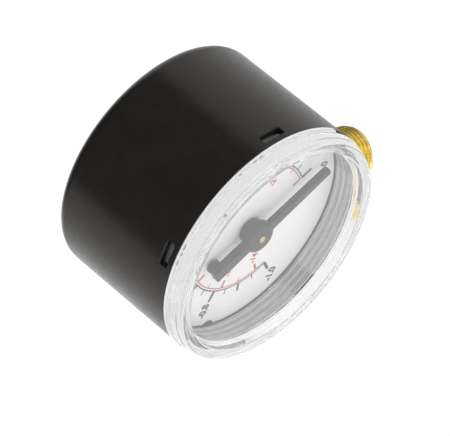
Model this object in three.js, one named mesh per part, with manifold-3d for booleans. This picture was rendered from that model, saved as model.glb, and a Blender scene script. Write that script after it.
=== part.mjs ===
// Pressure gauge, 40 mm, snap-in window, lower mount, vacuum range -1 to 0 bar.
// Millimetres. Origin: centre of the flat back of the case, on the case axis.
// The case axis is Y and the dial faces -Y. +Z is 12 o'clock, +X is 3 o'clock.
// The pieces are drawn with z = 0 on the connector's end face, and the whole group is
// then set back so that the middle of the case back is the origin.
import * as THREE from "three";
import { mergeVertices } from "three/addons/utils/BufferGeometryUtils.js";
import Module from "manifold-3d";

const wasm = await Module();
wasm.setup();

// ---------------------------------------------------------------- shared dimensions
// A place [x, z] is measured from the case axis. Angles are in degrees from +X towards +Z,
// so anticlockwise seen from the front, unless a name says clock.
const AXIS_Z = 36; // connector end face to the case axis
const THROUGH = 20; // reach of a through drill to either side of y = 0

const CASE_R = 20; // outer radius at the front edge
const CASE_BACK_Y = 10.95; // outer back face
const POCKET_R = 18.75; // inner radius in front of the dial ledge
const LEDGE_Y = -8.3; // dial ledge
const INDEX_R = POCKET_R + 0.02; // centres of the dial's index ribs and notches
const PAD_Z = 22.1; // seat moulded in the case for the connector's shoulder

const SNAP_COUNT = 5; // snap hooks and their windows, first one at 12 o'clock
const SNAP_Y = -11.4; // middle of a snap window along the case axis

const DIAL_FRONT_Y = -9.15;
const DIAL_BACK_Y = -8.35;
const POINTER_FRONT_Y = -11.9;

const PLATE_T = 0.8;
const FRONT_PLATE_Y = -5.4; // front face of the front plate
const FRONT_PLATE_BACK_Y = FRONT_PLATE_Y + PLATE_T;
const BACK_PLATE_Y = 1.6; // front face of the back plate
const BACK_PLATE_BACK_Y = BACK_PLATE_Y + PLATE_T;
const PILLARS = [
  [5.4, 1.2],
  [-4.2, -7.6],
];
const MOVEMENT_SCREWS = [
  [-2.9, -9.75],
  [2.9, -9.75],
];

const GEAR_CENTRES = 8; // pinion axis to sector pivot
const SECTOR_PIVOT = [0, -GEAR_CENTRES];
const GEAR_Y0 = -1.6;
const GEAR_Y1 = -0.8;
const TIP_PIN = [11.2, -4.3]; // link pin at the tube's tip
const PIN_HOLE_R = 0.42;
const PIN_HOLE_SEGMENTS = 14;

const FLATS = 14; // across the connector's square flats

const CASE_SCREW_X = 9.2;
const CASE_SCREW_SEAT_Z = 19.8;
const CASE_SCREW_HEAD_R = 1.5;

// ---------------------------------------------------------------- helpers
const RAD = Math.PI / 180;
const polar = (radius, degrees) => [
  radius * Math.cos(degrees * RAD),
  radius * Math.sin(degrees * RAD),
];
// points along an arc, every "step" degrees, never beyond "to"
const arc = (radius, from, to, step) =>
  Array.from({ length: Math.floor((to - from) / step) + 1 }, (_, i) =>
    polar(radius, from + i * step),
  );
const shift = (points, [dx, dy]) => points.map(([x, y]) => [x + dx, y + dy]);
const span = (half, middle = 0) => [middle - half, middle + half];
const vectors = (points) => points.map(([x, y]) => new THREE.Vector2(x, y));

// closed geometry -> solid, faces turned outward
function solid(geometry) {
  const loose = geometry.index ? geometry.toNonIndexed() : geometry.clone();
  loose.deleteAttribute("normal");
  loose.deleteAttribute("uv");
  const merged = mergeVertices(loose, 1e-4);
  const positions = merged.attributes.position.array;
  const index = merged.index.array;
  const corner = (i) => new THREE.Vector3().fromArray(positions, 3 * i);
  const triangles = [];
  let volume = 0;
  for (let i = 0; i < index.length; i += 3) {
    const [a, b, c] = index.slice(i, i + 3);
    if (a === b || b === c || a === c) continue;
    triangles.push(a, b, c);
    volume += corner(a).dot(corner(b).cross(corner(c)));
  }
  if (volume < 0)
    for (let i = 0; i < triangles.length; i += 3)
      [triangles[i + 1], triangles[i + 2]] = [triangles[i + 2], triangles[i + 1]];
  return new wasm.Manifold(
    new wasm.Mesh({
      numProp: 3,
      vertProperties: new Float32Array(positions),
      triVerts: new Uint32Array(triangles),
    }),
  );
}
const join = (...solids) => solids.reduce((a, b) => a.add(b));
const cut = (body, ...tools) => tools.reduce((a, b) => a.subtract(b), body);

// solid of revolution about the case axis or a parallel one, profile [radius, y]
const lathe = (profile, segments, [x, z] = [0, 0]) =>
  solid(new THREE.LatheGeometry(vectors(profile), segments).translate(x, 0, AXIS_Z + z));
// the same for a profile that stays clear of the axis
const ring = (profile, segments) => lathe([...profile, profile[0]], segments);
// solid of revolution about a line along Z, profile [radius, z]
const latheZ = (profile, segments, x = 0) =>
  solid(
    new THREE.LatheGeometry(vectors(profile), segments).rotateX(Math.PI / 2).translate(x, 0, 0),
  );
// profile of a stepped shaft: start y, then [radius, end y] of each step
function stepped(start, ...steps) {
  const profile = [[0, start]];
  let y = start;
  for (const [radius, end] of steps) {
    profile.push([radius, y], [radius, end]);
    y = end;
  }
  return [...profile, [0, y]];
}

const cylY = (radius, y0, y1, [x, z] = [0, 0], segments = 20) =>
  solid(
    new THREE.CylinderGeometry(radius, radius, y1 - y0, segments).translate(
      x,
      (y0 + y1) / 2,
      AXIS_Z + z,
    ),
  );
// tool for a through hole parallel to the case axis
const drillY = (radius, place, segments = 16) =>
  cylY(radius, -THROUGH, THROUGH, place, segments);
const cylZ = (radius, z0, z1, segments, x = 0) =>
  solid(
    new THREE.CylinderGeometry(radius, radius, z1 - z0, segments)
      .rotateX(Math.PI / 2)
      .translate(x, 0, (z0 + z1) / 2),
  );
// z is measured from the connector's end face
const box = ([x0, x1], [y0, y1], [z0, z1]) =>
  solid(
    new THREE.BoxGeometry(x1 - x0, y1 - y0, z1 - z0).translate(
      (x0 + x1) / 2,
      (y0 + y1) / 2,
      (z0 + z1) / 2,
    ),
  );

const extrude = (points, depth) =>
  new THREE.ExtrudeGeometry(new THREE.Shape(vectors(points)), { depth, bevelEnabled: false });
// flat piece with its outline [x, z] from the case axis, thickness y0..y1
const flat = (points, y0, y1) =>
  solid(extrude(points, y1 - y0).rotateX(Math.PI / 2).translate(0, y1, AXIS_Z));

// convex outline round a set of discs [x, z, radius]
function hull(discs, perDisc = 20) {
  const points = [];
  for (const [x, z, radius] of discs)
    for (let i = 0; i < perDisc; i++) {
      const [dx, dz] = polar(radius, (i / perDisc) * 360);
      points.push([x + dx, z + dz]);
    }
  points.sort((a, b) => a[0] - b[0] || a[1] - b[1]);
  const cross = (o, a, b) => (a[0] - o[0]) * (b[1] - o[1]) - (a[1] - o[1]) * (b[0] - o[0]);
  const half = (list) => {
    const chain = [];
    for (const point of list) {
      while (chain.length > 1 && cross(chain.at(-2), chain.at(-1), point) <= 1e-9) chain.pop();
      chain.push(point);
    }
    chain.pop();
    return chain;
  };
  return [...half(points), ...half([...points].reverse())];
}

// geometry drawn at 12 o'clock about the origin -> a solid at each snap
const atEachSnap = (geometry) =>
  Array.from({ length: SNAP_COUNT }, (_, i) =>
    solid(
      geometry
        .clone()
        .rotateY((i * 360 * RAD) / SNAP_COUNT)
        .translate(0, 0, AXIS_Z),
    ),
  );

// slotted cheese-head screw along Y, head to the front of "seat"
function slottedScrew({ place, seat, headR, headH, shankR, length }) {
  const headFront = seat - headH;
  const end = seat + length;
  const body = lathe(
    [
      [0, headFront],
      [headR - 0.15, headFront],
      [headR, headFront + 0.15],
      [headR, seat],
      [shankR, seat],
      [shankR, end - 0.2],
      [shankR - 0.2, end],
      [0, end],
    ],
    18,
    place,
  );
  const [x, z] = place;
  const slot = box(
    span(headR + 1, x),
    [headFront - 1, headFront + 0.4],
    span(0.17, AXIS_Z + z),
  );
  return cut(body, slot);
}

// ---------------------------------------------------------------- materials
const standard = (values) => new THREE.MeshStandardMaterial(values);
const blackPlastic = () => standard({ color: 0x151515, roughness: 0.45, metalness: 0 });
const brass = () => standard({ color: 0xc9a136, roughness: 0.32, metalness: 1 });
const steel = () => standard({ color: 0xb4b6b8, roughness: 0.3, metalness: 1 });
const copper = () => standard({ color: 0xb87a4b, roughness: 0.35, metalness: 1 });
const springMetal = () => standard({ color: 0xc8b06a, roughness: 0.3, metalness: 1 });
const dialWhite = () => standard({ color: 0xf1f1ee, roughness: 0.5, metalness: 0 });
const clearPane = () =>
  standard({ color: 0xeef2f4, roughness: 0.05, metalness: 0, transparent: true, opacity: 0.3 });

// ---------------------------------------------------------------- case
function makeCase() {
  const frontY = -13.2; // front edge of the cup
  const backR = 19.83; // outer radius at the back, moulding draft
  const edge = 2; // rounding of the back edge
  const innerR = 17.8; // inner radius behind the dial ledge
  const floorY = CASE_BACK_Y - 2; // inner face of the back wall
  const grooveY = CASE_BACK_Y - 0.25; // bottom of the ring groove in the back
  const snapWindow = { width: 4, height: 1.4, depth: 4 }; // round the case, along Y, radial
  const below = AXIS_Z - 22; // screw hole tools start here, outside the case

  let cup = lathe(
    [
      [0, CASE_BACK_Y],
      [13.2, CASE_BACK_Y],
      [13.3, grooveY],
      [13.8, grooveY],
      [13.9, CASE_BACK_Y],
      ...shift(arc(edge, 90, 0, -22.5), [backR - edge, CASE_BACK_Y - edge]),
      [CASE_R, frontY],
      [POCKET_R, frontY],
      [POCKET_R - 0.05, LEDGE_Y],
      [innerR, LEDGE_Y],
      [innerR - 0.1, floorY - 0.9],
      [innerR - 1, floorY],
      [0, floorY],
    ],
    64,
  );
  // seat for the connector, trimmed to the inside of the cup
  const inside = cylY(innerR + 0.6, -8.2, 8, [0, 0], 64);
  cup = join(cup, box(span(11.4), span(7.9), [AXIS_Z - 18.4, PAD_Z]).intersect(inside));
  // ribs that index the dial at 3 and 9 o'clock
  for (const side of [-1, 1])
    cup = join(cup, cylY(1.1, LEDGE_Y - 0.75, LEDGE_Y + 0.5, [side * INDEX_R, 0]));
  // square opening for the connector
  const opening = span(FLATS / 2 + 0.15);
  cup = cut(cup, box(opening, opening, [AXIS_Z - 24, PAD_Z + 1]));
  // screw holes with a sunk seat for the head
  for (const side of [-1, 1])
    cup = cut(
      cup,
      cylZ(1, below, PAD_Z + 1, 16, side * CASE_SCREW_X),
      cylZ(CASE_SCREW_HEAD_R + 0.15, below, CASE_SCREW_SEAT_Z + 0.05, 18, side * CASE_SCREW_X),
    );
  const { width, height, depth } = snapWindow;
  const tool = new THREE.BoxGeometry(width, height, depth).translate(0, SNAP_Y, CASE_R);
  return cut(cup, ...atEachSnap(tool));
}

// ---------------------------------------------------------------- window
function makeWindow() {
  const frontY = -16.7; // front of the rim
  const paneFrontY = -14.85;
  const paneBackY = -13.35;
  const rimInnerR = 17.4; // rim opening in front of the pane
  const flangeR = 20.15;
  const flangeBackY = -13.28;
  const skirtOuterR = 18.62;
  const skirtInnerR = 18.02;
  const skirtBackY = -9.5;
  const hookR = 19.35;
  const hookWidth = 3.2;

  const body = lathe(
    [
      [0, paneFrontY],
      [rimInnerR, paneFrontY],
      [rimInnerR + 0.3, frontY],
      [19.35, frontY],
      [19.8, frontY + 0.5],
      [20, -14.35],
      [19.85, -14.3],
      [19.85, -14.15],
      [flangeR, -14.1],
      [flangeR, flangeBackY],
      [skirtOuterR, flangeBackY],
      [skirtOuterR - 0.05, skirtBackY],
      [skirtInnerR, skirtBackY],
      [skirtInnerR - 0.2, paneBackY],
      [0, paneBackY],
    ],
    64,
  );
  // hook section [radius, y], turned so that the radius runs along +Z and the width along X
  const section = [
    [skirtOuterR - 0.3, SNAP_Y - 0.4],
    [hookR, SNAP_Y - 0.4],
    [hookR, SNAP_Y - 0.15],
    [skirtOuterR - 0.3, SNAP_Y + 0.45],
  ];
  const hook = extrude(section, hookWidth)
    .translate(0, 0, -hookWidth / 2)
    .rotateY(-Math.PI / 2);
  // prying notch in the flange, near 4 o'clock
  const notchClock = [107, 127]; // degrees clockwise from 12 o'clock
  const [from, to] = notchClock.map((degrees) => 90 - degrees);
  const notch = [...arc(19.3, from, to, -4), ...arc(21.5, to, from, 4)];
  return cut(join(body, ...atEachSnap(hook)), flat(notch, -14.2, -13));
}

// ---------------------------------------------------------------- dial
function makeDial() {
  const outerR = 18.55;
  const holeR = 1.6;
  const notchR = 1.55; // clears the index ribs
  const disc = ring(
    [
      [holeR, DIAL_FRONT_Y],
      [outerR - 0.1, DIAL_FRONT_Y],
      [outerR, DIAL_FRONT_Y + 0.1],
      [outerR, DIAL_BACK_Y],
      [holeR, DIAL_BACK_Y],
    ],
    64,
  );
  return cut(disc, ...[-1, 1].map((side) => drillY(notchR, [side * INDEX_R, 0], 24)));
}

// ---------------------------------------------------------------- pointer
function makePointer() {
  const restClock = 137; // 0 bar, degrees clockwise from 12 o'clock
  const tip = 15;
  const tail = 9.2;
  const front = POINTER_FRONT_Y;
  const hubBackY = DIAL_FRONT_Y - 0.3;

  const bar = [
    [-1.03, -tail],
    [1.03, -tail],
    [0.9, 0],
    [0.64, tip - 0.15],
    [0.5, tip],
    [-0.5, tip],
    [-0.64, tip - 0.15],
    [-0.9, 0],
  ];
  const tailBacking = [
    [-1.03, -tail],
    [1.03, -tail],
    [0.93, -2],
    [-0.93, -2],
  ];
  const hub = [
    [0, front - 0.25],
    [2.35, front - 0.25],
    [2.6, front],
    [2.6, front + 1.2],
    [2.1, front + 1.4],
    [2.1, hubBackY],
    [0, hubBackY],
  ];
  const body = join(
    flat(bar, front, front + 1.05),
    flat(tailBacking, front + 0.5, front + 1.3),
    // round boss behind the tail
    cylY(1.15, front + 0.6, front + 2.3, [0, -tail + 1.2], 18),
    lathe(hub, 28),
  );
  return cut(body, drillY(0.72))
    .translate([0, 0, -AXIS_Z])
    .rotate([0, restClock, 0])
    .translate([0, 0, AXIS_Z]);
}

// ---------------------------------------------------------------- gears
const SECTOR_TEETH_FULL = 90; // on a full circle
const PINION_TEETH = 12;
const SECTOR_R = (GEAR_CENTRES * SECTOR_TEETH_FULL) / (SECTOR_TEETH_FULL + PINION_TEETH);
const PINION_R = GEAR_CENTRES - SECTOR_R;
const TOOTH = { addendum: 0.13, dedendum: 0.2, pitchHalf: 0.085, rootHalf: 0.12 };

const LEVER_R = 3.3; // sector pivot to link pin
const LEVER_ANGLE = -38.95; // at 0 bar
const [LEVER_PIN] = shift([polar(LEVER_R, LEVER_ANGLE)], SECTOR_PIVOT);

// outline of straight-flanked teeth; the row is centred on the angle "middle"
function toothed({ pitchR, fullCount, count, middle, tipHalf }) {
  const { addendum, dedendum, pitchHalf, rootHalf } = TOOTH;
  // one tooth: [radius, distance to the side of its centre line]
  const tooth = [
    [pitchR - dedendum, -rootHalf],
    [pitchR, -pitchHalf],
    [pitchR + addendum, -tipHalf],
    [pitchR + addendum, tipHalf],
    [pitchR, pitchHalf],
    [pitchR - dedendum, rootHalf],
  ];
  const points = [];
  for (let i = 0; i < count; i++) {
    const centre = middle + ((i - (count - 1) / 2) * 360) / fullCount;
    for (const [radius, side] of tooth) points.push(polar(radius, centre + side / radius / RAD));
  }
  return points;
}

function makeSectorGear() {
  const middle = 90 + 16; // toothed arc centred 16 degrees left of the line of centres
  const left = middle + 27;
  const right = middle - 27;
  const spokeR = 5.9; // where the sides of the sector meet the rim
  const outline = [
    ...toothed({
      pitchR: SECTOR_R,
      fullCount: SECTOR_TEETH_FULL,
      count: 13,
      middle,
      tipHalf: 0.05,
    }),
    polar(spokeR, left),
    ...arc(1.35, left, right + 360, 15),
    polar(spokeR, right),
  ];
  // weight-saving window between the spokes
  const opening = [
    ...arc(5.5, middle - 16, middle + 16, 8),
    ...arc(2.9, middle + 12, middle - 12, -12),
  ];
  const body = join(
    flat(shift(outline, SECTOR_PIVOT), GEAR_Y0, GEAR_Y1),
    // lever to the link
    flat(hull([[...SECTOR_PIVOT, 1.3], [...LEVER_PIN, 0.8]]), GEAR_Y0, GEAR_Y1),
    // hub
    cylY(1.25, GEAR_Y0 - 0.8, GEAR_Y1 + 0.9, SECTOR_PIVOT),
  );
  return cut(
    body,
    flat(shift(opening, SECTOR_PIVOT), GEAR_Y0 - 1, GEAR_Y1 + 1),
    drillY(0.62, SECTOR_PIVOT),
    drillY(PIN_HOLE_R, LEVER_PIN, PIN_HOLE_SEGMENTS),
  );
}

const makeSectorArbor = () =>
  lathe(
    stepped(
      FRONT_PLATE_Y - 0.3,
      [0.38, FRONT_PLATE_BACK_Y + 0.15],
      [0.55, BACK_PLATE_Y - 0.15],
      [0.38, BACK_PLATE_BACK_Y + 0.3],
    ),
    16,
    SECTOR_PIVOT,
  );

// headed pin through either end of the link
const makeLinkPin = (place) => lathe(stepped(-3.1, [0.75, -2.75], [0.34, -0.45]), 16, place);

// link from the lever to the tube's tip
function makeLink() {
  const y0 = -2.55;
  const y1 = -2.05;
  const taper = 0.12; // share of the link's length taken by the taper at the tip end
  const [tipX, tipZ] = TIP_PIN;
  const [leverX, leverZ] = LEVER_PIN;
  const outline = hull([
    [tipX, tipZ, 0.85],
    [tipX + (leverX - tipX) * taper, tipZ + (leverZ - tipZ) * taper, 0.5],
    [leverX, leverZ, 0.5],
  ]);
  return cut(
    join(flat(outline, y0, y1), cylY(0.92, y0, y1, LEVER_PIN, 18)),
    drillY(PIN_HOLE_R, TIP_PIN, PIN_HOLE_SEGMENTS),
    drillY(0.53, LEVER_PIN),
  );
}

// teeth in the sector's plane, tapered nose that carries the pointer
function makePinionArbor() {
  const teeth = toothed({
    pitchR: PINION_R,
    fullCount: PINION_TEETH,
    count: PINION_TEETH,
    middle: -90,
    tipHalf: 0.045,
  });
  const shaft = [
    [0, POINTER_FRONT_Y - 0.55],
    [0.5, POINTER_FRONT_Y - 0.55],
    [0.58, POINTER_FRONT_Y - 0.45],
    [0.62, DIAL_FRONT_Y],
    [0.62, FRONT_PLATE_BACK_Y + 0.2],
    [0.66, FRONT_PLATE_BACK_Y + 0.2],
    [0.66, BACK_PLATE_Y - 0.2],
    [0.4, BACK_PLATE_Y - 0.2],
    [0.4, BACK_PLATE_BACK_Y + 0.3],
    [0, BACK_PLATE_BACK_Y + 0.3],
  ];
  return join(flat(teeth, GEAR_Y0 - 0.4, GEAR_Y1 + 0.4), lathe(shaft, 16));
}

// ---------------------------------------------------------------- hairspring
const SPRING_Y0 = -4;
const SPRING_Y1 = -3.5;
const SPRING_OUTER_R = 3.3; // the outer end lies straight below the case axis

const makeHairspringCollet = () =>
  ring(
    [
      [0.76, SPRING_Y0 - 0.1],
      [1.25, SPRING_Y0 - 0.1],
      [1.25, SPRING_Y1 + 0.1],
      [0.76, SPRING_Y1 + 0.1],
    ],
    18,
  );

// spiral ribbon from the collet to the stud
function makeHairspring() {
  const innerR = 1.4;
  const halfThick = 0.045;
  const turns = 3.5;
  const steps = 56;
  const inner = [];
  const outer = [];
  for (let i = 0; i <= steps; i++) {
    const done = i / steps;
    const angle = 90 + done * turns * 360;
    const radius = innerR + done * (SPRING_OUTER_R - innerR);
    inner.push(polar(radius - halfThick, angle));
    outer.push(polar(radius + halfThick, angle));
  }
  return flat([...inner, ...outer.reverse()], SPRING_Y0, SPRING_Y1);
}

// stud behind the front plate, split round the outer end of the spring
function makeHairspringStud() {
  const place = [0, -SPRING_OUTER_R];
  const stud = cylY(0.5, FRONT_PLATE_BACK_Y + 0.02, SPRING_Y1 + 0.25, place, 16);
  const split = box(span(1), [SPRING_Y0 - 0.1, 0], span(0.15, AXIS_Z - SPRING_OUTER_R));
  return cut(stud, split);
}

// ---------------------------------------------------------------- movement plates
const PLATE_DISCS = [
  [0, 0, 2.5],
  ...PILLARS.map((place) => [...place, 1.7]),
  [...SECTOR_PIVOT, 2.1],
];
const PLATE_DISC_POINTS = 18;
const SECTOR_PIVOT_HOLE_R = 0.46;

const makeFrontPlate = () =>
  cut(
    flat(hull(PLATE_DISCS, PLATE_DISC_POINTS), FRONT_PLATE_Y, FRONT_PLATE_BACK_Y),
    drillY(0.72),
    drillY(SECTOR_PIVOT_HOLE_R, SECTOR_PIVOT),
    ...PILLARS.map((place) => drillY(0.7, place)),
  );

function makeBackPlate() {
  const discs = [...PLATE_DISCS, [3.2, -8.2, 1.2], [-3.2, -8.2, 1.2]];
  // foot that is screwed to the connector
  const foot = [
    [-4.3, -10.75],
    [4.3, -10.75],
    [4.3, -8.4],
    [-4.3, -8.4],
  ];
  return cut(
    join(
      flat(hull(discs, PLATE_DISC_POINTS), BACK_PLATE_Y, BACK_PLATE_BACK_Y),
      flat(foot, BACK_PLATE_Y, BACK_PLATE_BACK_Y),
    ),
    drillY(0.5),
    drillY(SECTOR_PIVOT_HOLE_R, SECTOR_PIVOT),
    ...PILLARS.map((place) => drillY(0.62, place)),
    ...MOVEMENT_SCREWS.map((place) => drillY(0.85, place)),
  );
}

// pillar with a tapped front end and a riveted spigot in the back plate
function makePillar(place) {
  const profile = stepped(
    FRONT_PLATE_BACK_Y + 0.05,
    [0.95, BACK_PLATE_Y - 0.05],
    [0.55, BACK_PLATE_BACK_Y + 0.15],
  );
  return cut(lathe(profile, 18, place), cylY(0.62, FRONT_PLATE_Y, -2, place, 16));
}

const makePlateScrew = (place) =>
  slottedScrew({
    place,
    seat: FRONT_PLATE_Y - 0.05,
    headR: 1.2,
    headH: 0.8,
    shankR: 0.52,
    length: 2.7,
  });

const makeMovementScrew = (place) =>
  slottedScrew({
    place,
    seat: BACK_PLATE_Y - 0.05,
    headR: 1.35,
    headH: 0.85,
    shankR: 0.7,
    length: 3,
  });

// ---------------------------------------------------------------- Bourdon tube
const TUBE_R = 13; // centre line
const TUBE_WIDE = 5; // section along Y
const TUBE_THICK = 1.8; // section along the radius
const TUBE_WALL = 0.35;
const TUBE_ROOT = 256; // angle of the end in the connector
const TUBE_TIP = -6; // angle of the free end

// flat oval [y, radial]: half circles on the ends of a rectangle
const ovalSection = (wide, thick) =>
  vectors([
    ...shift(arc(thick / 2, -90, 90, 45), [(wide - thick) / 2, 0]),
    ...shift(arc(thick / 2, 90, 270, 45), [(thick - wide) / 2, 0]),
  ]);

// flat oval carried round the tube's centre line, with its long side along Y;
// solid when no wall is given
function sweepOval({ wide, thick, wall, from, to, steps }) {
  const outer = ovalSection(wide, thick);
  const holes = wall ? [ovalSection(wide - 2 * wall, thick - 2 * wall).reverse()] : [];
  const positions = [];
  const add = (point, station) => {
    const angle = from + ((to - from) * station) / steps;
    const [x, z] = polar(TUBE_R + point.y, angle);
    positions.push(x, point.x, z + AXIS_Z);
  };
  for (const loop of [outer, ...holes])
    for (let k = 0; k < steps; k++)
      loop.forEach((point, i) => {
        const next = loop[(i + 1) % loop.length];
        add(point, k);
        add(next, k);
        add(next, k + 1);
        add(point, k);
        add(next, k + 1);
        add(point, k + 1);
      });
  // end faces
  const points = [outer, ...holes].flat();
  for (const [a, b, c] of THREE.ShapeUtils.triangulateShape(outer, holes)) {
    for (const i of [a, c, b]) add(points[i], 0);
    for (const i of [a, b, c]) add(points[i], steps);
  }
  const attribute = new THREE.BufferAttribute(new Float32Array(positions), 3);
  return solid(new THREE.BufferGeometry().setAttribute("position", attribute));
}

const makeTube = () =>
  sweepOval({
    wide: TUBE_WIDE,
    thick: TUBE_THICK,
    wall: TUBE_WALL,
    from: TUBE_ROOT,
    to: TUBE_TIP,
    steps: 32,
  });

// room for the tube's root in the connector
const makeTubeClearance = () =>
  sweepOval({
    wide: TUBE_WIDE + 0.3,
    thick: TUBE_THICK + 0.3,
    from: TUBE_ROOT + 1,
    to: TUBE_ROOT - 40,
    steps: 8,
  });

// plug in the tube's tip, cap over it, and an arm that reaches to the link
function makeTubeEndPiece() {
  const inset = 2 * TUBE_WALL + 0.2;
  const plug = sweepOval({
    wide: TUBE_WIDE - inset,
    thick: TUBE_THICK - inset,
    from: TUBE_TIP + 7,
    to: TUBE_TIP - 1,
    steps: 2,
  });
  const cap = sweepOval({
    wide: TUBE_WIDE + 0.4,
    thick: TUBE_THICK + 0.4,
    from: TUBE_TIP - 0.6,
    to: TUBE_TIP - 8,
    steps: 2,
  });
  const armRoot = polar(TUBE_R - 0.1, TUBE_TIP - 5);
  const arm = flat(hull([[...TIP_PIN, 0.95], [...armRoot, 0.9]]), GEAR_Y0, GEAR_Y1);
  return cut(join(plug, cap, arm), drillY(PIN_HOLE_R, TIP_PIN, PIN_HOLE_SEGMENTS));
}

// ---------------------------------------------------------------- connector
// threaded shank, profile [radius, z]: ridges at the real pitch, chamfered end, undercut
function makeShank() {
  const majorR = 4.864; // G 1/8 B, major diameter 9.728
  const rootR = 4.283;
  const pitch = 0.907;
  const threadLength = 8.4; // followed by the undercut
  const undercutR = 4.15;
  const top = 10.5;
  const profile = [
    [0, 0],
    [3.9, 0],
    [rootR, 0.35],
  ];
  for (let z = 0.55; z + pitch < threadLength; z += pitch)
    profile.push([majorR, z + 0.35], [rootR, z + 0.8]);
  profile.push([undercutR, threadLength - 0.05], [undercutR, top], [0, top]);
  return latheZ(profile, 24);
}

function makeStem() {
  const shoulderZ = 22.2; // underside of the shoulder
  const flats = span(FLATS / 2);
  let stem = join(makeShank(), box(flats, flats, [10.4, 22.4]));
  // round off the square's corners like turned bar, up to z = 19.2
  stem = stem.intersect(join(cylZ(9.35, -1, 19.2, 48), box(span(12), span(12), [19.1, 40])));
  stem = join(
    stem,
    // shoulder that seats in the case
    box(span(10.5), span(5.5), [shoulderZ, 23.45]),
    // boss that takes the root of the tube
    box([-6.3, -0.5], span(3.5), [22, 24.7]),
    // wall that carries the movement
    box(span(4.6), [2.5, 5.5], [22, 27.3]),
  );
  // drilling along X from the bore to the root of the tube
  const crossX = [-3.2, 0.3];
  const crossDrilling = solid(
    new THREE.CylinderGeometry(0.6, 0.6, crossX[1] - crossX[0], 12)
      .rotateZ(Math.PI / 2)
      .translate((crossX[0] + crossX[1]) / 2, 0, 22.35),
  );
  return cut(
    stem,
    makeTubeClearance(),
    // bore, wider at the end face
    cylZ(1.5, -1, 22.6, 20),
    cylZ(2.6, -1, 3, 20),
    crossDrilling,
    ...MOVEMENT_SCREWS.map((place) => drillY(0.8, place)),
    ...[-1, 1].map((side) => cylZ(0.95, 21, 26, 16, side * CASE_SCREW_X)),
  );
}

// cross-slotted screw along Z, head at the bottom
function makeCaseScrew(x) {
  const headZ = 19; // outer face of the head
  const shankR = 0.85;
  const tipZ = 23.6;
  const chamfer = 0.15;
  const body = latheZ(
    [
      [0, headZ],
      [CASE_SCREW_HEAD_R - chamfer, headZ],
      [CASE_SCREW_HEAD_R, headZ + chamfer],
      [CASE_SCREW_HEAD_R, CASE_SCREW_SEAT_Z],
      [shankR, CASE_SCREW_SEAT_Z],
      [shankR, tipZ - chamfer],
      [shankR - chamfer, tipZ],
      [0, tipZ],
    ],
    20,
    x,
  );
  const slotZ = [headZ - 1, headZ + 0.4];
  return cut(body, box(span(0.2, x), span(1), slotZ), box(span(1, x), span(0.2), slotZ));
}

// ---------------------------------------------------------------- assembly
const gauge = new THREE.Group();

// solid -> flat-shaded mesh in the group
function addPiece(name, body, material) {
  const { numProp, numVert, vertProperties, triVerts } = body.getMesh();
  const positions = new Float32Array(numVert * 3);
  for (let i = 0; i < numVert; i++)
    positions.set(vertProperties.subarray(i * numProp, i * numProp + 3), i * 3);
  const geometry = new THREE.BufferGeometry()
    .setAttribute("position", new THREE.BufferAttribute(positions, 3))
    .setIndex(new THREE.BufferAttribute(triVerts, 1))
    .toNonIndexed();
  geometry.computeVertexNormals();
  const mesh = new THREE.Mesh(geometry, material);
  mesh.name = name;
  gauge.add(mesh);
}

addPiece("case", makeCase(), blackPlastic());
addPiece("window", makeWindow(), clearPane());
addPiece("dial", makeDial(), dialWhite());
addPiece("pointer", makePointer(), blackPlastic());
addPiece("sector_gear", makeSectorGear(), brass());
addPiece("sector_arbor", makeSectorArbor(), steel());
addPiece("link_pin_sector", makeLinkPin(LEVER_PIN), brass());
addPiece("link", makeLink(), brass());
addPiece("link_pin_tip", makeLinkPin(TIP_PIN), brass());
addPiece("pinion_arbor", makePinionArbor(), brass());
addPiece("hairspring_collet", makeHairspringCollet(), brass());
addPiece("hairspring", makeHairspring(), springMetal());
addPiece("hairspring_stud", makeHairspringStud(), brass());
addPiece("movement_front_plate", makeFrontPlate(), brass());
addPiece("movement_back_plate", makeBackPlate(), brass());
PILLARS.forEach((place, i) => {
  addPiece(`pillar_${i + 1}`, makePillar(place), brass());
  addPiece(`plate_screw_${i + 1}`, makePlateScrew(place), steel());
});
MOVEMENT_SCREWS.forEach((place, i) =>
  addPiece(`movement_screw_${i + 1}`, makeMovementScrew(place), steel()),
);
addPiece("bourdon_tube", makeTube(), copper());
addPiece("tube_end_piece", makeTubeEndPiece(), brass());
addPiece("stem", makeStem(), brass());
[-1, 1].forEach((side, i) =>
  addPiece(`case_screw_${i + 1}`, makeCaseScrew(side * CASE_SCREW_X), steel()),
);

gauge.position.set(0, -CASE_BACK_Y, -AXIS_Z);

export default gauge;
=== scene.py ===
import math

import bmesh
import bpy
import numpy as np
from mathutils import Matrix, Vector


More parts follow.
